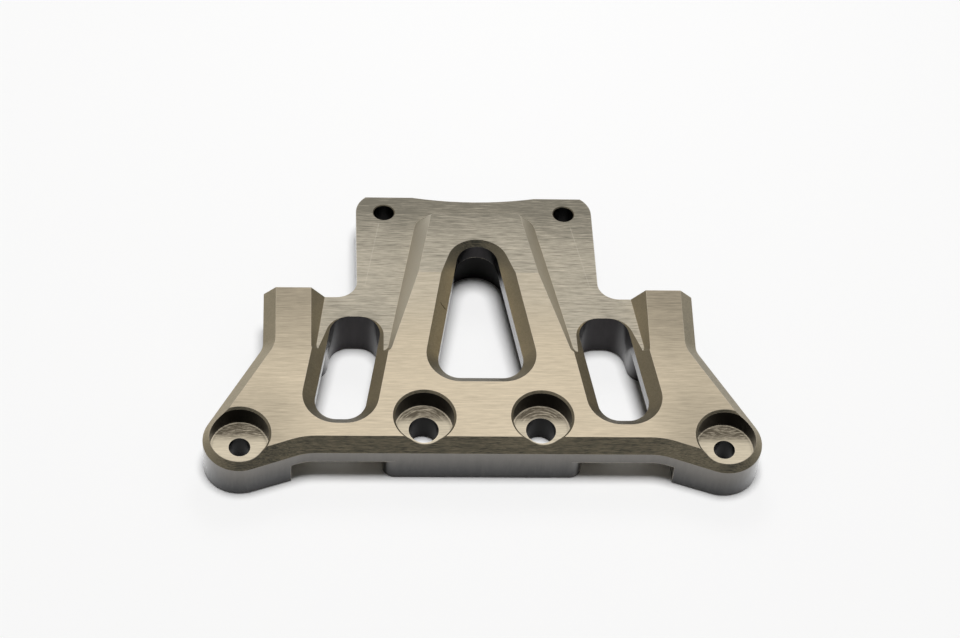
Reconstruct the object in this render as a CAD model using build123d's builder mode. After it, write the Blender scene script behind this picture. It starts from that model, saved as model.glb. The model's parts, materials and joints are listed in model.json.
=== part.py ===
from build123d import *
import os
from math import asin, cos, degrees, radians, sin, tan

# A mounting bracket machined from one aluminium plate. Lengths are in millimetres
# and angles in degrees. X runs to the right, Y to the rear and Z up. The origin is on
# the seating face, midway between the two outer screw holes of the front bar. The part
# is drawn square to its flat top and its screws, and is then stood on its seat.

# Plate
height = 6.68                   # seating face to flat top, at the outer screws
seat_slope = 5.1                # between the seating face and the flat top, thicker to the rear
edge_chamfer = 1.45             # 45 degree chamfer round the front, the slots and the opening
edge_break = 0.15               # deburred edges of the seating face

# Front bar and its lugs
lug_spacing = 56.0              # outer screw holes, centre to centre
lug_radius = 4.2
bar_front = 1.7                 # front wall, ahead of the line through the outer holes
approach_angle = 20.0           # wall that runs out from the bar to the lug
approach_radius = 7.0           # hollow corner between that wall and the bar

# Shoulders
shoulder_width = 50.9
shoulder_rear = 20.6            # rear wall, behind the line through the outer holes
arm_angle = 60.0                # wall that runs from the lug back to the shoulder
arm_radius = 2.3                # hollow corner between that wall and the shoulder's side
shoulder_gap = 39.7             # between the top edges of the two inner shoulder walls

# Rear plate
rear_hole_spacing = 22.0
rear_hole_y = 35.0
rear_corner_radius = 3.4        # about each rear hole
rear_edge_y = 37.6
notch_radius = 2.5              # hollow corner between the rear plate and the shoulder
relief_radius = 40.0            # shallow hollow in the rear edge
relief_depth = 0.7

# Sloped wings and the rib that stands on them
wing_slope = 8.7                # fall towards the rear
wing_line = 8.0                 # where the sloped plane leaves the flat top
wing_front = 11.5               # front wall of the lowered wings, at the flat top
wall_lean = 40.0                # lean of the walls round the wings, from upright
wall_radius = 1.2               # front corners of the lowered wings
rib_height = 2.27               # above the wings, square to them
rib_length = 26.85              # from the wing line to the rear foot, along the slope
rib_rear_width = 13.9           # at the rear foot
rib_corner_radius = 2.5         # rear foot corners
flare = 10.0                    # lean of the rib's foot, the slots and the opening, in plan

# Openings
slot_front = 2.95
slot_rear = 17.5
slot_width = 6.04
slot_offset = 13.84             # inner front corner, from the middle
slot_corner_radius = 2.5
opening_front = 8.8
opening_rear_y = 25.4           # centre of the round rear end
opening_rear_radius = 2.5
opening_corner_radius = 2.5

# Screw holes
inner_hole_spacing = 13.6
inner_hole_y = 2.5
tapping_radius = 1.25           # outer and rear holes
clearance_radius = 1.75         # inner holes
seat_radius = 3.42              # counterbore for a cap screw's head
seat_depth = 2.95
seat_rim = 0.25                 # chamfer round the counterbore's mouth
rear_rim = 0.12                 # chamfer round the rear holes' mouth

# Bays and rebate in the seating face
bay_roof = 3.2                  # metal left above the front bays, from the flat top
boss_width = 23.2               # full-height boss between the two front bays
boss_corner_radius = 1.5
bay_side = 3.8716               # from a slot's outer wall, at the bay's rear, to the step at the lug
bay_rear = 12.6
bay_corner_radius = 1.5
bay_nose_radius = 2.2           # where a bay's rear wall turns into a slot's outer wall
nose_wall_share = 0.9           # most of either wall's length that the turn may take
rebate_roof = 3.6               # metal left above the rebate, from the flat top
rebate_width = 1.0              # all round the centre opening

# Clearance past the outside, for cuts that are open to the edge
run_out = 2.0

# Places worked out from the sizes above
lug_x = lug_spacing / 2
inner_hole_x = inner_hole_spacing / 2
rear_hole_x = rear_hole_spacing / 2
shoulder_x = shoulder_width / 2
lean_tan = tan(radians(wall_lean))
flare_tan = tan(radians(flare))
slot_x_at_bay = slot_offset + slot_width - (bay_rear - slot_front) * flare_tan
bay_span = 2 * (slot_x_at_bay + bay_side)
half_turn_tan = tan(radians(45 + flare / 2))
bay_wall = bay_side - bay_corner_radius
slot_wall = (slot_rear - bay_rear) / cos(radians(flare)) - slot_corner_radius / half_turn_tan
nose_room = min(bay_wall, slot_wall) * half_turn_tan
nose_radius = min(bay_nose_radius, nose_wall_share * nose_room)
slope_tan = tan(radians(wing_slope))
lowest_z = -(rear_edge_y + run_out) * tan(radians(seat_slope))
seat_plane = Plane(
    origin=(0, 0, 0),
    x_dir=(1, 0, 0),
    z_dir=(0, sin(radians(seat_slope)), cos(radians(seat_slope))),
)
wing_foot_depth = (wing_front - wing_line) * slope_tan / (1 - lean_tan * slope_tan)
wing_foot_y = wing_front + wing_foot_depth * lean_tan
wing_end_y = rear_edge_y + run_out
wing_plane = Plane(
    origin=(0, wing_line, height),
    x_dir=(1, 0, 0),
    z_dir=(0, sin(radians(wing_slope)), cos(radians(wing_slope))),
)

# Rib: a flared pad drawn on the sloped plane, drawn up with leaning walls
with BuildPart() as rib:
    with BuildSketch(wing_plane) as rib_foot:
        with BuildLine():
            rear_x = rib_rear_width / 2
            front_x = rear_x + rib_length * flare_tan
            Polyline(
                (front_x, 0), (rear_x, rib_length), (-rear_x, rib_length), (-front_x, 0),
                close=True,
            )
        make_face()
        fillet(rib_foot.vertices().group_by(Axis.Y)[-1], rib_corner_radius)
    extrude(amount=rib_height, taper=wall_lean)

# Wing cut: everything above the sloped plane, between leaning walls at the front and
# at the shoulders, but for the rib
with BuildPart() as wing_cut:
    with BuildSketch(Plane.YZ):
        with BuildLine():
            Polyline(
                (wing_front, height),
                (wing_foot_y, height - wing_foot_depth),
                (wing_end_y, height - (wing_end_y - wing_line) * slope_tan),
                (wing_end_y, height),
                close=True,
            )
        make_face()
    extrude(amount=shoulder_gap / 2, both=True)
    with BuildSketch(Plane.XZ):
        with BuildLine():
            Polyline(
                (shoulder_gap / 2, height),
                (shoulder_gap / 2 - height * lean_tan, 0),
                (height * lean_tan - shoulder_gap / 2, 0),
                (-shoulder_gap / 2, height),
                close=True,
            )
        make_face()
    extrude(amount=wing_end_y, both=True, mode=Mode.INTERSECT)
    add(rib.part, mode=Mode.SUBTRACT)
    front_corners = (
        wing_cut.edges()
        .filter_by(Axis.X, reverse=True)
        .filter_by_position(Axis.Y, wing_front, wing_foot_y)
    )
    fillet(front_corners, wall_radius)

with BuildPart() as bracket:
    # Plate, with the front bar, lugs, arms, shoulders and rear plate in one outline
    with BuildSketch(Plane.XY.offset(lowest_z)) as outline:
        with BuildLine():
            lug = CenterArc(
                (lug_x, 0), lug_radius,
                start_angle=-90 - approach_angle,
                arc_size=180 + approach_angle - arm_angle,
            )
            approach_run = (-(lug @ 0).Y - bar_front) / tan(radians(approach_angle))
            arm_run = ((lug @ 1).X - shoulder_x) * tan(radians(arm_angle))
            bar = Line((0, -bar_front), ((lug @ 0).X - approach_run, -bar_front))
            Line(bar @ 1, lug @ 0)
            arm = Line(lug @ 1, (shoulder_x, (lug @ 1).Y + arm_run))
            corner = CenterArc(
                (rear_hole_x, rear_hole_y), rear_corner_radius,
                start_angle=0,
                arc_size=degrees(asin((rear_edge_y - rear_hole_y) / rear_corner_radius)),
            )
            notch = Polyline(
                arm @ 1, (shoulder_x, shoulder_rear), ((corner @ 0).X, shoulder_rear), corner @ 0
            )
            Line(corner @ 1, (0, rear_edge_y))
            mirror(about=Plane.YZ)
        make_face()
        for side in (-1, 1):
            for corner_point, radius in (
                (bar @ 1, approach_radius),
                (arm @ 1, arm_radius),
                (Vector((corner @ 0).X, shoulder_rear), notch_radius),
            ):
                at = (side * corner_point.X, corner_point.Y)
                fillet(outline.vertices().sort_by_distance(at)[0], radius)
        with Locations((0, rear_edge_y - relief_depth + relief_radius)):
            Circle(relief_radius, mode=Mode.SUBTRACT)
    extrude(amount=height - lowest_z)
    split(bisect_by=seat_plane, keep=Keep.TOP)

    # Wide chamfer along the front and the two sides, as far as the shoulders' rear walls
    front_edges = (
        bracket.edges()
        .group_by(Axis.Z)[-1]
        .filter_by_position(Axis.Y, -lug_radius, shoulder_rear - edge_chamfer)
    )
    chamfer(front_edges, edge_chamfer)

    # Side slots and centre opening, with the same chamfer round their mouths
    with BuildSketch(Plane.XY.offset(lowest_z)) as openings:
        slot_rear_offset = slot_offset - (slot_rear - slot_front) * flare_tan
        with BuildSketch(mode=Mode.PRIVATE) as slot:
            with BuildLine():
                Polyline(
                    (slot_offset, slot_front),
                    (slot_offset + slot_width, slot_front),
                    (slot_rear_offset + slot_width, slot_rear),
                    (slot_rear_offset, slot_rear),
                    close=True,
                )
            make_face()
            fillet(slot.vertices(), slot_corner_radius)
        add(slot.sketch)
        mirror(slot.sketch, about=Plane.YZ)
        with BuildSketch(mode=Mode.PRIVATE) as opening:
            with BuildLine():
                rear_round = CenterArc(
                    (0, opening_rear_y), opening_rear_radius,
                    start_angle=flare, arc_size=180 - 2 * flare,
                )
                opening_side = ((rear_round @ 0).Y - opening_front) * flare_tan
                front_half = (rear_round @ 0).X + opening_side
                Polyline(
                    rear_round @ 1, (-front_half, opening_front), (front_half, opening_front),
                    rear_round @ 0,
                )
            make_face()
            fillet(opening.vertices().group_by(Axis.Y)[0], opening_corner_radius)
        add(opening.sketch)
    extrude(amount=height - lowest_z, mode=Mode.SUBTRACT)
    chamfer(bracket.edges(Select.LAST).group_by(Axis.Z)[-1], edge_chamfer)

    # Wings lowered behind the front bar, which leaves the rib and the shoulders standing
    add(wing_cut.part, mode=Mode.SUBTRACT)

    # Front bays, open to the front on each side of the boss
    with BuildSketch(Plane.XY.offset(height - bay_roof)) as bays:
        with Locations((0, bay_rear)):
            Rectangle(
                bay_span, bay_rear + bar_front + run_out, align=(Align.CENTER, Align.MAX)
            )
        with BuildSketch(mode=Mode.PRIVATE) as boss:
            with Locations((0, -bar_front)):
                Rectangle(
                    boss_width, bay_rear + bar_front + run_out, align=(Align.CENTER, Align.MIN)
                )
            fillet(boss.vertices().group_by(Axis.Y)[0], boss_corner_radius)
        add(boss.sketch, mode=Mode.SUBTRACT)
        fillet(bays.vertices().group_by(Axis.Y)[-1], bay_corner_radius)
    extrude(amount=lowest_z - height, mode=Mode.SUBTRACT)
    upright_edges = bracket.edges(Select.LAST).filter_by(Axis.Z)
    noses = [
        upright_edges.sort_by_distance((side * slot_x_at_bay, bay_rear, 0))[0] for side in (-1, 1)
    ]
    fillet(noses, nose_radius)

    # Rebate round the centre opening
    with BuildSketch(Plane.XY.offset(height - rebate_roof)) as rebate:
        offset(opening.sketch, amount=rebate_width)
    extrude(amount=lowest_z - height, mode=Mode.SUBTRACT)

    # Screw holes: counterbored along the front bar, plain in the rear plate
    front_holes = [(side * lug_x, 0, height) for side in (-1, 1)]
    inner_holes = [(side * inner_hole_x, inner_hole_y, height) for side in (-1, 1)]
    rear_holes = [(side * rear_hole_x, rear_hole_y, height) for side in (-1, 1)]
    with Locations(*front_holes, *inner_holes):
        CounterSinkHole(seat_radius, seat_radius + seat_rim, seat_depth, 90)
    with Locations(*front_holes):
        Hole(tapping_radius, height - lowest_z)
    with Locations(*inner_holes):
        Hole(clearance_radius, height - lowest_z)
    with Locations(*rear_holes):
        Hole(tapping_radius, height - lowest_z)
    chamfer(bracket.edges(Select.LAST).group_by(Axis.Z)[-1], rear_rim)

    # Seating face deburred all round
    chamfer(bracket.faces().filter_by(seat_plane).edges(), edge_break)

# Stood on its seat, so that the seating face lies on Z = 0
mounting_bracket = bracket.part.rotate(Axis.X, seat_slope)
mounting_bracket.label = "mounting_bracket"

os.makedirs("parts", exist_ok=True)
export_step(mounting_bracket, "parts/mounting_bracket.step")
print("volume", round(mounting_bracket.volume, 2), "solids", len(mounting_bracket.solids()))
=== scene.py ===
"""Dresses the machined mounting bracket and lights it on a pale studio floor."""

import json
import logging
import math
from dataclasses import dataclass, field
from enum import Enum
from typing import Any

import bpy
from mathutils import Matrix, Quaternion, Vector

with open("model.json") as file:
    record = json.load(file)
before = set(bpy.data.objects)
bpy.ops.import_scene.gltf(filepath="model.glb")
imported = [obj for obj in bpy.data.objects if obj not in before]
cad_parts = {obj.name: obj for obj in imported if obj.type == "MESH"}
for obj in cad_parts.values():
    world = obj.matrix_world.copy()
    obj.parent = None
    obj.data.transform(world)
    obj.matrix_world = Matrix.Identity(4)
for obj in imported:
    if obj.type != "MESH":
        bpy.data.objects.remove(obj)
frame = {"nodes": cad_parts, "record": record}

LOG = logging.getLogger("bracket")
MM_PER_M = 1000.0
Colour = tuple[float, float, float]
Point = tuple[float, float, float]
Span = tuple[float, float]
Socket = bpy.types.NodeSocket


def tone(red: int, green: int, blue: int) -> Colour:
    """Turn a tone as a screen shows it into linear light, by the sRGB curve.

    Args:
        red: Red, from 0 to 255.
        green: Green, from 0 to 255.
        blue: Blue, from 0 to 255.

    Returns:
        The same tone as linear red, green and blue.
    """
    parts = (value / 255 for value in (red, green, blue))
    return tuple(p / 12.92 if p < 0.04045 else ((p + 0.055) / 1.055) ** 2.4 for p in parts)


class Marks(Enum):
    """Which way the cutter's marks run, as their lengths along X, Y and Z in millimetres."""

    ALONG_BAR = (2.0, 0.09, 0.09)
    ALONG_PLATE = (1.8, 0.09, 0.3)
    GRANULAR = (0.35, 0.11, 0.11)
    STREAKED = (0.9, 0.1, 0.1)
    UPRIGHT = (0.5, 0.5, 3.0)


class Detail(Enum):
    """How many finer layers a noise has."""

    PLAIN = 1.0
    SOFT = 2.0
    SHARP = 3.0


@dataclass(frozen=True)
class Finish:
    """One cut surface: its two tones, its roughness, its marks and how strongly they show."""

    light: Colour
    dark: Colour
    roughness: float
    marks: Marks
    contrast: float


class Value:
    """A number on its way through the shader, usable in Python expressions."""

    def __init__(self, graph: "Graph", socket: Socket) -> None:
        """Keep the graph and the socket."""
        self.graph = graph
        self.socket = socket

    def __add__(self, other: "Value | float") -> "Value":
        """Return the sum."""
        return self.graph.maths("ADD", self, other)

    __radd__ = __add__

    def __sub__(self, other: "Value | float") -> "Value":
        """Return the difference."""
        return self.graph.maths("SUBTRACT", self, other)

    def __rsub__(self, other: float) -> "Value":
        """Return a number less this value."""
        return self.graph.maths("SUBTRACT", other, self)

    def __mul__(self, other: "Value | float") -> "Value":
        """Return the product."""
        return self.graph.maths("MULTIPLY", self, other)

    def __truediv__(self, other: "Value | float") -> "Value":
        """Return the quotient."""
        return self.graph.maths("DIVIDE", self, other)

    def __abs__(self) -> "Value":
        """Return the size without its sign."""
        return self.graph.maths("ABSOLUTE", self)


class Graph:
    """The node tree of a material or the world, with short calls for what it is made of."""

    noise_roughness: float = 0.65
    noise_spread: float = 2.6

    def __init__(self, owner: bpy.types.Material | bpy.types.World) -> None:
        """Start an empty node tree.

        Args:
            owner: The material or world that the tree belongs to.
        """
        owner.use_nodes = True
        self.owner = owner
        self.tree = owner.node_tree
        self.tree.nodes.clear()

    def node(
        self, kind: str, settings: dict[str, Any], inputs: dict[str | int, Any]
    ) -> bpy.types.Node:
        """Add a node.

        Args:
            kind: The node's type.
            settings: Its properties, set before its sockets.
            inputs: Its sockets by name or number, each a Value, a socket or a constant.

        Returns:
            The new node.
        """
        made = self.tree.nodes.new(kind)
        for key, setting in settings.items():
            setattr(made, key, setting)
        for key, given in inputs.items():
            if isinstance(given, Value):
                given = given.socket
            if isinstance(given, Socket):
                self.tree.links.new(given, made.inputs[key])
            else:
                made.inputs[key].default_value = given
        return made

    def maths(
        self, operation: str, first: Value | float, second: Value | float = 0.0
    ) -> Value:
        """Add a Math node.

        Args:
            operation: The node's operation.
            first: Its first value.
            second: Its second value, where it has one.

        Returns:
            The result.
        """
        made = self.node("ShaderNodeMath", {"operation": operation}, {0: first, 1: second})
        return Value(self, made.outputs[0])

    def least(self, first: Value, second: Value) -> Value:
        """Return the smaller of two values."""
        return self.maths("MINIMUM", first, second)

    def most(self, first: Value | float, second: Value | float) -> Value:
        """Return the larger of two values."""
        return self.maths("MAXIMUM", first, second)

    def length(self, first: Value, second: Value) -> Value:
        """Return the length of a flat vector."""
        return self.maths("SQRT", first * first + second * second)

    def ease(self, value: Value, span: Span) -> Value:
        """Rise smoothly from 0 to 1 as a value passes a span.

        Args:
            value: The value.
            span: Where the mask is 0 and where it is 1. The second may be the smaller.

        Returns:
            The mask.
        """
        falls = span[0] > span[1]
        limits = {"From Min": min(span), "From Max": max(span)}
        made = self.node(
            "ShaderNodeMapRange", {"interpolation_type": "SMOOTHSTEP", "clamp": True},
            {"Value": value, **limits, "To Min": float(falls), "To Max": float(not falls)},
        )
        return Value(self, made.outputs["Result"])

    def blend(self, mask: Value | float, under: Any, over: Any) -> Socket:
        """Mix two colours.

        Args:
            mask: The share of the second colour.
            under: The first colour, as a constant or a socket.
            over: The second colour.

        Returns:
            The mixed colour.
        """
        under, over = ((*c, 1.0) if isinstance(c, tuple) else c for c in (under, over))
        made = self.node(
            "ShaderNodeMix", {"data_type": "RGBA", "clamp_factor": True},
            {0: mask, 6: under, 7: over},
        )
        return made.outputs[2]

    def split(self, vector: Socket) -> tuple[Value, Value, Value]:
        """Split a vector.

        Args:
            vector: The vector.

        Returns:
            Its X, Y and Z.
        """
        made = self.node("ShaderNodeSeparateXYZ", {}, {0: vector})
        return tuple(Value(self, socket) for socket in made.outputs)

    def noise(self, vector: Socket, lengths: Point, detail: Detail) -> Value:
        """Add a soft noise with marks of given lengths.

        Args:
            vector: A place.
            lengths: The marks' lengths along X, Y and Z, in the place's unit.
            detail: How many finer layers it has.

        Returns:
            The noise, from about -1 to 1.
        """
        scaled = self.node("ShaderNodeVectorMath", {"operation": "DIVIDE"}, {0: vector, 1: lengths})
        made = self.node(
            "ShaderNodeTexNoise", {"noise_dimensions": "3D"},
            {
                "Vector": scaled.outputs[0], "Scale": 1.0,
                "Detail": detail.value, "Roughness": self.noise_roughness,
            },
        )
        return (Value(self, made.outputs[0]) - 0.5) * self.noise_spread


@dataclass(frozen=True)
class Finishes:
    """The bracket's cut surfaces, all under one bronze-grey anodised layer. Their tones are partly
    painted light and shade: the chamfers and walls are darker and the rib's sides lighter than the
    flat top for how they face the lamps, while their marks and roughness are their own.
    """

    flat_top: Finish = Finish(
        tone(222, 207, 181), tone(120, 112, 96), 0.62, Marks.ALONG_BAR, 0.34
    )
    slope: Finish = Finish(
        tone(201, 192, 174), tone(126, 121, 108), 0.62, Marks.ALONG_PLATE, 1.15
    )
    front_chamfer: Finish = Finish(
        tone(205, 190, 160), tone(84, 83, 74), 0.42, Marks.STREAKED, 0.55
    )
    side_chamfer: Finish = Finish(
        tone(205, 190, 160), tone(98, 97, 86), 0.42, Marks.GRANULAR, 0.3
    )
    rib_side: Finish = Finish(
        tone(206, 198, 180), tone(152, 142, 119), 0.42, Marks.GRANULAR, 0.2
    )
    wall: Finish = Finish(tone(109, 105, 99), tone(13, 12, 12), 0.3, Marks.UPRIGHT, 0.12)
    # Painted shade: the darker walls inside the slots, the centre opening and the bays.
    shaded_inner_wall: Finish = Finish(tone(50, 47, 48), tone(36, 34, 35), 0.4, Marks.UPRIGHT, 0.4)
    screw_seat: Finish = Finish(
        tone(226, 214, 190), tone(88, 80, 66), 0.4, Marks.ALONG_BAR, 0.4
    )
    # Painted shade: the near-black tone of the screw holes' walls and the rebate.
    painted_hole_shade: Colour = tone(10, 9, 8)
    # Painted highlight: the pale tone along the sharp edges.
    edge_highlight: Colour = tone(226, 216, 196)
    scribe: Colour = tone(214, 206, 190)
    nick: Colour = tone(38, 34, 30)


@dataclass(frozen=True)
class Tilts:
    """How far each kind of cut faces up, square to the flat top, as spans for Graph.ease.

    The side chamfers and the coat's fade go by how far they face sideways.
    """

    flat: Span = (0.9955, 0.9985)
    sloped: Span = (0.972, 0.985)
    leaning: Span = (0.42, 0.52)
    rib_side: Span = (0.69, 0.66)
    underside: Span = (-0.8, -0.9)
    side_chamfer: Span = (0.35, 0.6)
    coat_fade: Span = (0.9, 0.4)


@dataclass(frozen=True)
class Zones:
    """Where the bracket's parts begin and end, in millimetres, as spans for Graph.ease.

    "Across" is the distance from the middle, "rear" and "front" are places along Y, and
    the spans of the screw seats count from the seat's rim or its floor.
    """

    rib_across: Span = (14.0, 13.0)
    slots_across: Span = (21.9, 21.7)
    slots_rear: Span = (18.7, 18.5)
    opening_across: Span = (8.1, 7.9)
    opening_rear: Span = (29.6, 29.4)
    inside_front: Span = (0.2, 0.5)
    rebate_below: Span = (3.12, 3.02)
    rebate_across: Span = (7.5, 7.3)
    rebate_front: Span = (7.0, 7.2)
    screw_wall: Span = (0.3, 0.1)
    rear_hole: Span = (1.6, 1.4)
    seat_floor: Span = (0.3, 0.1)
    seat_rim: Span = (-0.22, -0.1)
    seat_rear: Span = (0.5, 2.2)
    inner_seats: Span = (20.0, 16.0)
    outer_seats: Span = (16.0, 20.0)


@dataclass(frozen=True)
class Shading:
    """Slow changes of tone over the bracket, most of them painted light and shade.

    The patches are the metal's own uneven tone. Painted shade darkens the walls towards the floor,
    the flat top, the wings and the chamfers towards the rear, the chamfers that face right and the
    rib's right side, and painted light brightens the chamfers as they face sideways. The flat top
    is also darker on the arms and towards the right, and the front chamfer on the arms.

    Amounts are shares of the way from a finish's dark tone to its light one. Spans are in
    millimetres, for Graph.ease.
    """

    patch_size: Point = (16.0, 11.0, 11.0)
    patches: float = 0.12
    # Painted shade: the walls darken towards the floor.
    painted_foot_shade: Span = (0.7, 5.6)
    wall_base: float = -0.5
    arms_across: Span = (18.0, 25.0)
    arms_rear: Span = (10.0, 3.0)
    chamfer_base: float = -0.32
    # Painted light and shade on the chamfers: lighter as they face sideways, darker as they face
    # right and towards the rear.
    chamfer_side_light: float = 0.56
    chamfer_right_shade: float = 0.17
    chamfer_rear: Span = (24.0, 28.0)
    chamfer_rear_shade: float = 0.2
    front_chamfer_base: float = 0.08
    front_chamfer_arms: float = 0.15
    rib_side_base: float = 0.3
    # Painted shade: the rib's right side is darker.
    rib_side_right_shade: float = 0.022
    slope_base: float = 0.14
    # Painted shade: the wings and the flat top darken towards the rear.
    slope_rear: Span = (26.0, 38.0)
    slope_rear_shade: float = 0.66
    flat_base: float = 0.22
    flat_patches: float = 0.6
    flat_rear: Span = (5.0, 20.0)
    flat_rear_shade: float = 0.17
    flat_outwards: Span = (14.0, 21.0)
    flat_outwards_shade: float = 0.28
    flat_arms: float = 0.255
    flat_right: Span = (10.0, 26.0)
    flat_right_fall: float = 0.08
    bend_rear: Span = (12.0, 21.0)
    bend_across: Span = (12.0, 10.0)
    bend_share: float = 0.5


@dataclass(frozen=True)
class Strokes:
    """How the marks of every finish are made up of a fine, a broad and a short noise."""

    broad_length: float = 3.1
    short_length: float = 0.7
    fine: float = 0.8
    broad: float = 0.25
    short: float = 0.5
    short_span: Span = (0.35, 0.85)
    polish: float = 0.05


@dataclass(frozen=True)
class SeatMarks:
    """The floor of a screw seat: rings at the inner screws and lines at the outer ones.

    Lengths are in millimetres, amounts are shares of the way from dark to light.
    """

    ring_width: float = 0.14
    ring_length: float = 1.4
    line_lengths: Point = (0.8, 0.13, 0.13)
    waver: float = 0.35
    base: float = 0.72
    brushed: float = 0.3
    marked: float = 0.95
    rear_fall: float = 0.66
    rim_rise: float = 0.6
    brushed_height: float = 0.6


@dataclass(frozen=True)
class EdgeHighlight:
    """The painted highlight along the sharp edges. Lengths are in millimetres."""

    width: float = 0.11
    samples: int = 6
    turn: Span = (0.995, 0.93)
    gap_length: float = 0.9
    gaps: Span = (-0.9, 0.5)
    share: float = 0.55
    polish: float = 0.08


@dataclass(frozen=True)
class Gloss:
    """How the anodised layer throws light back. The bump's height is in metres."""

    metallic: float = 0.8
    metallic_deep: float = 0.2
    metallic_flat: float = 0.35
    specular: float = 0.35
    coat_roughness: float = 0.12
    coat_ior: float = 1.33
    bump: float = 0.35
    bump_height: float = 0.00001


@dataclass(frozen=True)
class Scribe:
    """The faint scribed line on each wing, in millimetres."""

    start: tuple[float, float] = (11.6, 33.3)
    end: tuple[float, float] = (13.47, 22.4)
    half_width: Span = (0.072, 0.0225)
    start_fade: Span = (-0.2, 0.6)
    end_fade: Span = (0.2, -0.8)
    gap_length: float = 0.5
    gaps: Span = (-0.8, 0.5)
    share: float = 0.38


@dataclass(frozen=True)
class Nick:
    """The thin dark crack on the centre opening's left chamfer, in millimetres."""

    place: tuple[float, float] = (-4.3, 18.7)
    along: tuple[float, float] = (0.78, -0.62)
    half_width: Span = (0.1, 0.04)
    half_length: Span = (0.5, 0.3)
    waver: float = 0.09
    waver_length: float = 0.3
    share: float = 0.9


class Spot:
    """What the shader knows of the point that it colours, square to the flat top."""

    def __init__(self, graph: Graph, seat_slope: float, tilts: Tilts) -> None:
        """Read the point's place and facing, and sort it by the way it faces.

        Args:
            graph: The material's graph.
            seat_slope: The angle between the seat and the flat top, in degrees.
            tilts: How far each kind of cut faces up.
        """
        self.graph = graph
        self.seat_slope = seat_slope
        told = graph.node("ShaderNodeTexCoord", {}, {})
        in_mm = graph.node(
            "ShaderNodeVectorMath", {"operation": "SCALE"},
            {0: told.outputs["Object"], "Scale": MM_PER_M},
        )
        self.at = self.squared(in_mm.outputs[0])
        self.x, self.y, self.z = graph.split(self.at)
        self.across = abs(self.x)
        self.above_seat = graph.split(in_mm.outputs[0])[2]
        self.right, _, up = graph.split(self.squared(told.outputs["Normal"]))
        self.sideways = abs(self.right)

        self.flat = graph.ease(up, tilts.flat)
        self.sloped = graph.ease(up, tilts.sloped) * (1 - self.flat)
        self.leaning = graph.ease(up, tilts.leaning) * (1 - self.flat - self.sloped)
        self.upright = 1 - graph.ease(up, tilts.leaning)
        self.rib_side = graph.ease(up, tilts.rib_side)
        self.underside = graph.ease(up, tilts.underside)

    def squared(self, vector: Socket) -> Socket:
        """Turn a place or direction square to the flat top, as the bracket was cut.

        Args:
            vector: The place or direction in the solid's frame.

        Returns:
            The same, with Z square to the flat top.
        """
        made = self.graph.node(
            "ShaderNodeVectorRotate", {"rotation_type": "X_AXIS"},
            {"Vector": vector, "Angle": -math.radians(self.seat_slope)},
        )
        return made.outputs[0]

    def reach(self, x: float, y: float) -> Value:
        """Return the distance from a place and its mirror image, in millimetres."""
        return self.graph.length(self.across - x, self.y - y)


@dataclass(frozen=True)
class Layer:
    """One finish over those before it, with its mask and its slow change of tone, partly random
    patches and partly painted light and shade.
    """

    mask: Value
    finish: Finish
    tone_and_shade: Value


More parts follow.
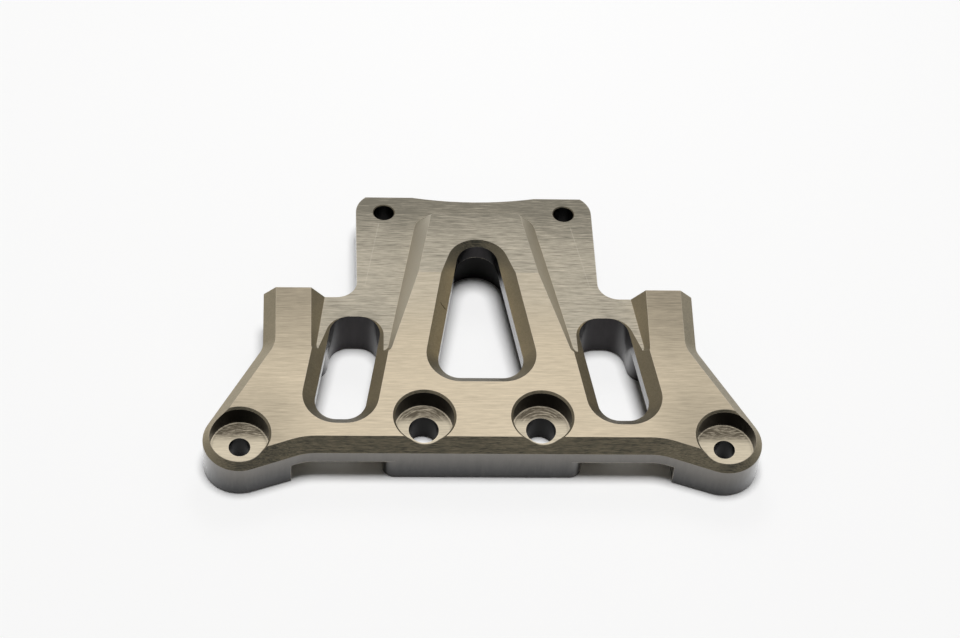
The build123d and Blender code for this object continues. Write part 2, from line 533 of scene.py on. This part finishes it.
@dataclass
class Bracket:
    """The bracket itself, which keeps its solid and gets one finish per kind of cut.

    Sizes are in millimetres, square to the flat top. The record's mounts give the screws.
    """

    node: str = "mounting_bracket"
    rear_screw: tuple[float, float] = (11.0, 35.0)
    screw_seat_z: float = 3.73
    screw_seat_radius: float = 3.42
    finishes: Finishes = Finishes()
    tilts: Tilts = Tilts()
    zones: Zones = Zones()
    shading: Shading = Shading()
    strokes: Strokes = Strokes()
    seat_marks: SeatMarks = SeatMarks()
    edge: EdgeHighlight = EdgeHighlight()
    gloss: Gloss = Gloss()
    scribe: Scribe = Scribe()
    nick: Nick = Nick()
    seat_slope: float = field(init=False)
    outer_screw_x: float = field(init=False)
    inner_screw: tuple[float, float] = field(init=False)

    def __post_init__(self) -> None:
        """Take the screw holes' places from the record's mounts."""
        mounts = {mount["name"]: mount for mount in frame["record"]["mounts"]}
        inner = mounts["inner_screws"]
        lean, to_rear = Vector(inner["axis"]), Vector(inner["pos_m"]) * MM_PER_M
        rearwards = lean.cross(Vector((1.0, 0.0, 0.0)))
        self.seat_slope = math.degrees(math.asin(-lean.y))
        self.outer_screw_x = mounts["outer_screws"]["dims"]["pcd_mm"] / 2
        self.inner_screw = (inner["dims"]["pcd_mm"] / 2, rearwards.dot(to_rear))

    def dress(self) -> bpy.types.Object:
        """Give the solid its material.

        Returns:
            The dressed object.
        """
        solid = frame["nodes"][self.node]
        material = self.material()
        for slot in solid.material_slots:
            slot.material = material
        return solid

    def material(self) -> bpy.types.Material:
        """Build the anodised aluminium, with a finish for each kind of cut and painted light and
        shade over them.

        Returns:
            The material.
        """
        graph = Graph(bpy.data.materials.new("anodised_aluminium"))
        spot = Spot(graph, self.seat_slope, self.tilts)
        looks, gloss = self.finishes, self.gloss
        patches = graph.noise(spot.at, self.shading.patch_size, Detail.SOFT)
        fade = patches * self.shading.patches
        inside, painted_hole_shade = self.inside(spot), self.painted_hole_shade(spot)

        # Painted shade: the walls darken towards the floor.
        painted_foot_shade = graph.ease(spot.above_seat, self.shading.painted_foot_shade)
        colour, roughness, height = self.cut(
            spot, looks.wall, fade + painted_foot_shade + self.shading.wall_base
        )
        for layer in self.layers(spot, inside, fade):
            over, over_roughness, over_height = self.cut(spot, layer.finish, layer.tone_and_shade)
            colour = graph.blend(layer.mask, colour, over)
            roughness = roughness + (over_roughness - roughness) * layer.mask
            height = height + (over_height - height) * layer.mask
        # Painted shade: the walls of the screw holes and the rebate go near-black.
        painted_shade_wall, shaded_inner_wall = painted_hole_shade * spot.upright, inside * spot.upright
        colour = graph.blend(painted_shade_wall, colour, looks.painted_hole_shade)
        seat = graph.ease(abs(spot.z - self.screw_seat_z), self.zones.seat_floor) * spot.flat
        seat_colour, seat_height = self.turned(spot)
        colour = graph.blend(seat, colour, seat_colour)
        height = height + (seat_height - height) * seat

        # Painted highlight along the sharp edges.
        edge = self.edge_highlights(spot)
        colour = graph.blend(edge * self.edge.share, colour, looks.edge_highlight)
        colour = graph.blend(self.scribed(spot) * spot.sloped, colour, looks.scribe)
        colour = graph.blend(self.nicked(spot) * spot.leaning, colour, looks.nick)

        bump = graph.node(
            "ShaderNodeBump", {},
            {"Strength": gloss.bump, "Distance": gloss.bump_height, "Height": height},
        )
        deep = graph.most(shaded_inner_wall, painted_shade_wall)
        metallic = deep * gloss.metallic_deep + gloss.metallic
        coat = spot.upright * (1 - painted_hole_shade)
        coat_fade = 1 - shaded_inner_wall * graph.ease(spot.sideways, self.tilts.coat_fade)
        surface = graph.node(
            "ShaderNodeBsdfPrincipled", {},
            {
                "Base Color": colour,
                "Metallic": metallic - (spot.flat + spot.sloped) * gloss.metallic_flat,
                "Roughness": roughness - edge * self.edge.polish,
                "Normal": bump.outputs[0],
                "Specular IOR Level": gloss.specular,
                "Coat Weight": coat * coat_fade,
                "Coat Roughness": gloss.coat_roughness,
                "Coat IOR": gloss.coat_ior,
            },
        )
        graph.node("ShaderNodeOutputMaterial", {}, {"Surface": surface.outputs[0]})
        return graph.owner

    def layers(self, spot: Spot, inside: Value, fade: Value) -> list[Layer]:
        """List the finishes over the walls, each covering those before it.

        Args:
            spot: The point that is coloured.
            inside: What lies inside the slots, the centre opening and the bays.
            fade: Soft patches of tone.

        Returns:
            The layers.
        """
        graph, looks, zones, shading = spot.graph, self.finishes, self.zones, self.shading
        arms = graph.ease(spot.across, shading.arms_across) * graph.ease(spot.y, shading.arms_rear)
        rib_side = spot.rib_side * graph.ease(spot.across, zones.rib_across)
        bend = graph.ease(spot.y, shading.bend_rear) * graph.ease(spot.across, shading.bend_across)

        # Painted light and shade: the chamfers lighten as they face sideways and darken as they
        # face right and towards the rear.
        chamfer = (
            fade
            + shading.chamfer_base
            + spot.sideways * shading.chamfer_side_light
            - spot.right * shading.chamfer_right_shade
            - graph.ease(spot.y, shading.chamfer_rear) * shading.chamfer_rear_shade
        )
        front_chamfer = (
            chamfer + shading.front_chamfer_base - arms * shading.front_chamfer_arms
        )
        # Painted shade: the rib's right side is darker.
        rib = fade + shading.rib_side_base - spot.x * shading.rib_side_right_shade
        # Painted shade: the wings darken towards the rear.
        slope = (
            fade
            + shading.slope_base
            - graph.ease(spot.y, shading.slope_rear) * shading.slope_rear_shade
        )
        # Painted shade: the flat top darkens towards the rear, more at the shoulders.
        outwards = graph.ease(spot.across, shading.flat_outwards) * shading.flat_outwards_shade
        flat = (
            fade * shading.flat_patches
            + shading.flat_base
            - graph.ease(spot.y, shading.flat_rear) * (outwards + shading.flat_rear_shade)
            - arms * shading.flat_arms
            - graph.ease(spot.x, shading.flat_right) * shading.flat_right_fall
        )
        facing_side = graph.ease(spot.sideways, self.tilts.side_chamfer)
        return [
            # Painted shade: the walls inside the slots, the opening and the bays are darker.
            Layer(inside, looks.shaded_inner_wall, fade),
            Layer(spot.leaning, looks.front_chamfer, front_chamfer),
            Layer(spot.leaning * facing_side, looks.side_chamfer, chamfer),
            Layer(spot.leaning * rib_side, looks.rib_side, rib),
            Layer(spot.underside, looks.slope, fade),
            Layer(spot.sloped + spot.flat, looks.slope, slope),
            Layer(spot.flat * (1 - bend * shading.bend_share), looks.flat_top, flat),
        ]

    def cut(self, spot: Spot, finish: Finish, tone_and_shade: Value) -> tuple[Socket, Value, Value]:
        """Make one kind of cut surface.

        Args:
            spot: The point that is coloured.
            finish: The surface's tones, roughness and marks.
            tone_and_shade: A slow change of tone, partly random patches and partly painted light
                and shade, from the dark one at -0.5 to the light one at 0.5.

        Returns:
            Its colour, its roughness and its height.
        """
        graph, strokes = spot.graph, self.strokes
        fine, broad, short = (
            graph.noise(spot.at, tuple(length * share for length in finish.marks.value), detail)
            for share, detail in (
                (1.0, Detail.SHARP),
                (strokes.broad_length, Detail.PLAIN),
                (strokes.short_length, Detail.PLAIN),
            )
        )
        lines = fine * strokes.fine + broad * strokes.broad
        marks = lines + graph.ease(short, strokes.short_span) * strokes.short
        colour = graph.blend(marks * finish.contrast + tone_and_shade + 0.5, finish.dark, finish.light)
        return colour, finish.roughness - lines * strokes.polish, lines

    def inside(self, spot: Spot) -> Value:
        """Find what lies inside the slots, the centre opening and the bays, whose walls get painted
        shade.

        Args:
            spot: The point that is coloured.

        Returns:
            The mask.
        """
        ease, zones = spot.graph.ease, self.zones
        beside = ease(spot.across, zones.slots_across) * ease(spot.y, zones.slots_rear)
        middle = ease(spot.across, zones.opening_across) * ease(spot.y, zones.opening_rear)
        return spot.graph.most(beside, middle) * ease(spot.y, zones.inside_front)

    def painted_hole_shade(self, spot: Spot) -> Value:
        """Find the screw holes and the rebate under the opening, which are painted near-black as
        painted shade.

        Args:
            spot: The point that is coloured.

        Returns:
            The mask.
        """
        ease, most, zones = spot.graph.ease, spot.graph.most, self.zones
        front = ease(self.from_screw(spot) - self.screw_seat_radius, zones.screw_wall)
        rear = ease(spot.reach(*self.rear_screw), zones.rear_hole)
        rebate = (
            ease(spot.z, zones.rebate_below)
            * ease(spot.across, zones.rebate_across)
            * ease(spot.y, zones.rebate_front)
            * ease(spot.y, zones.opening_rear)
        )
        return most(most(front, rear), rebate)

    def from_screw(self, spot: Spot) -> Value:
        """Return the distance from the nearest screw of the front bar, in millimetres."""
        outer, inner = spot.reach(self.outer_screw_x, 0.0), spot.reach(*self.inner_screw)
        return spot.graph.least(outer, inner)

    def turned(self, spot: Spot) -> tuple[Socket, Value]:
        """Make a screw seat's floor, rougher and darker towards its rear.

        Args:
            spot: The point that is coloured.

        Returns:
            Its colour and its height.
        """
        graph, zones, seat = spot.graph, self.zones, self.seat_marks
        finish = self.finishes.screw_seat
        radius = self.from_screw(spot)
        inner = graph.ease(spot.across, zones.inner_seats)
        outer = graph.ease(spot.across, zones.outer_seats)
        ring = graph.node(
            "ShaderNodeCombineXYZ", {},
            {
                0: radius / seat.ring_width,
                1: spot.x / seat.ring_length,
                2: spot.y / seat.ring_length,
            },
        )
        rings = graph.noise(ring.outputs[0], (1.0, 1.0, 1.0), Detail.SHARP)
        lines = graph.noise(spot.at, seat.line_lengths, Detail.SHARP)
        brushed = graph.noise(spot.at, finish.marks.value, Detail.SHARP)
        marks = rings * inner + lines * outer
        behind = spot.y - inner * self.inner_screw[1]
        rear = graph.ease(behind + marks * seat.waver, zones.seat_rear)
        rim = graph.ease(radius - self.screw_seat_radius, zones.seat_rim)
        share = (
            seat.base
            + brushed * seat.brushed
            + marks * rear * seat.marked
            - rear * seat.rear_fall
            + rim * seat.rim_rise
        )
        height = marks * rear + brushed * seat.brushed_height
        return graph.blend(share, finish.dark, finish.light), height

    def edge_highlights(self, spot: Spot) -> Value:
        """Find the sharp edges, which get a painted highlight.

        Args:
            spot: The point that is coloured.

        Returns:
            The mask, broken up along the edge.
        """
        graph, edge = spot.graph, self.edge
        rounded = graph.node(
            "ShaderNodeBevel", {"samples": edge.samples}, {"Radius": edge.width / MM_PER_M}
        )
        plain = graph.node("ShaderNodeNewGeometry", {}, {})
        same = graph.node(
            "ShaderNodeVectorMath", {"operation": "DOT_PRODUCT"},
            {0: rounded.outputs[0], 1: plain.outputs["Normal"]},
        )
        turn = graph.ease(Value(graph, same.outputs["Value"]), edge.turn)
        gaps = graph.noise(spot.at, (edge.gap_length,) * 3, Detail.SOFT)
        return turn * graph.ease(gaps, edge.gaps)

    def scribed(self, spot: Spot) -> Value:
        """Draw the faint scribed line on each wing.

        Args:
            spot: The point that is coloured.

        Returns:
            The mask.
        """
        graph, line = spot.graph, self.scribe
        start, end = Vector(line.start), Vector(line.end)
        run, along = (end - start).length, (end - start).normalized()
        from_x, from_y = spot.across - start.x, spot.y - start.y
        off = abs(from_x * along.y - from_y * along.x)
        passed = from_x * along.x + from_y * along.y
        ends = graph.ease(passed, line.start_fade) * graph.ease(passed - run, line.end_fade)
        gaps = graph.noise(spot.at, (line.gap_length,) * 3, Detail.SOFT)
        drawn = graph.ease(off, line.half_width) * ends * graph.ease(gaps, line.gaps)
        return drawn * line.share

    def nicked(self, spot: Spot) -> Value:
        """Mark the thin dark crack on the centre opening's left chamfer.

        Args:
            spot: The point that is coloured.

        Returns:
            The mask.
        """
        graph, crack = spot.graph, self.nick
        from_x, from_y = spot.x - crack.place[0], spot.y - crack.place[1]
        along_x, along_y = crack.along
        passed = abs(from_x * along_x + from_y * along_y)
        waver = graph.noise(spot.at, (crack.waver_length,) * 3, Detail.PLAIN) * crack.waver
        off = abs(from_y * along_x - from_x * along_y + waver)
        drawn = graph.ease(off, crack.half_width) * graph.ease(passed, crack.half_length)
        return drawn * crack.share


@dataclass
class Studio:
    """The pale floor, the soft lamps and the camera. Sizes are in metres, angles in degrees."""

    floor_size: float = 6.0
    floor_tone: Colour = tone(246, 246, 246)
    panel_place: Point = (0.007, 0.112, 0.121)
    panel_aim: Point = (0.0, 0.008, 0.007)
    panel_side: float = 0.05
    panel_watts: float = 0.013
    sun_strength: float = 2.88
    sun_spread: float = 22.0
    sun_lean: float = 3.5
    room_colour: Colour = (1.0, 0.985, 0.96)
    room_strength: float = 0.08
    camera_place: Point = (-0.0225116, -0.2130429, 0.2758588)
    camera_turn: tuple[float, float, float, float] = (
        0.93778588, 0.34572521, -0.03127791, -0.00730842
    )
    camera_clip: Span = (0.01, 20.0)
    sensor_width_mm: float = 36.0
    focal_px: float = 3000.613
    picture_width_px: int = 960

    def build(self) -> None:
        """Set the floor, the lamps, the surroundings and the camera."""
        self.floor()
        self.panel()
        self.sun()
        self.surroundings()
        self.camera()
        bpy.context.scene.view_settings.view_transform = "Standard"

    def stand(self, name: str, data: bpy.types.ID) -> bpy.types.Object:
        """Put a new object into the scene.

        Args:
            name: The object's name.
            data: Its mesh, lamp or camera.

        Returns:
            The object.
        """
        made = bpy.data.objects.new(name, data)
        bpy.context.scene.collection.objects.link(made)
        return made

    def floor(self) -> None:
        """Lay the floor under the bracket."""
        half = self.floor_size / 2
        outline = [(-half, -half, 0), (half, -half, 0), (half, half, 0), (-half, half, 0)]
        mesh = bpy.data.meshes.new("floor")
        mesh.from_pydata(outline, [], [(0, 1, 2, 3)])
        laid = self.stand("floor", mesh)
        graph = Graph(bpy.data.materials.new("pale_floor"))
        matt = graph.node("ShaderNodeBsdfDiffuse", {}, {"Color": (*self.floor_tone, 1.0)})
        graph.node("ShaderNodeOutputMaterial", {}, {"Surface": matt.outputs[0]})
        mesh.materials.append(graph.owner)

    def panel(self) -> None:
        """Hang a small soft panel above and behind the bracket."""
        data = bpy.data.lights.new("panel", "AREA")
        data.shape = "RECTANGLE"
        data.size = data.size_y = self.panel_side
        data.energy = self.panel_watts
        hung = self.stand("panel", data)
        hung.location = self.panel_place
        aim = Vector(self.panel_aim) - Vector(self.panel_place)
        hung.rotation_euler = aim.to_track_quat("-Z", "Y").to_euler()

    def sun(self) -> None:
        """Set a wide soft sun nearly overhead."""
        data = bpy.data.lights.new("overhead", "SUN")
        data.energy = self.sun_strength
        data.angle = math.radians(self.sun_spread)
        self.stand("overhead", data).rotation_euler.x = math.radians(self.sun_lean)

    def surroundings(self) -> None:
        """Fill the room with weak light, in front of a backdrop in the floor's tone."""
        graph = Graph(bpy.data.worlds.new("room"))
        room = graph.node(
            "ShaderNodeBackground", {},
            {"Color": (*self.room_colour, 1.0), "Strength": self.room_strength},
        )
        seen = graph.node("ShaderNodeBackground", {}, {"Color": (*self.floor_tone, 1.0)})
        rays = graph.node("ShaderNodeLightPath", {}, {})
        choice = graph.node(
            "ShaderNodeMixShader", {},
            {0: rays.outputs["Is Camera Ray"], 1: room.outputs[0], 2: seen.outputs[0]},
        )
        graph.node("ShaderNodeOutputWorld", {}, {"Surface": choice.outputs[0]})
        bpy.context.scene.world = graph.owner

    def camera(self) -> None:
        """Stand the camera where the photograph was taken from."""
        data = bpy.data.cameras.new("camera")
        data.sensor_width = self.sensor_width_mm
        data.lens = self.focal_px * self.sensor_width_mm / self.picture_width_px
        data.clip_start, data.clip_end = self.camera_clip
        made = self.stand("camera", data)
        made.location = self.camera_place
        made.rotation_euler = Quaternion(self.camera_turn).to_euler()
        bpy.context.scene.camera = made


def main() -> None:
    """Dress the bracket, build the studio and log the bracket's face count."""
    logging.basicConfig(level=logging.INFO, format="%(name)s: %(message)s")
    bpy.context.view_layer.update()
    bracket = Bracket().dress()
    LOG.info("%s dressed, %d faces", bracket.name, len(bracket.data.polygons))
    Studio().build()
    LOG.info("studio built")


if __name__ == "__main__":
    main()
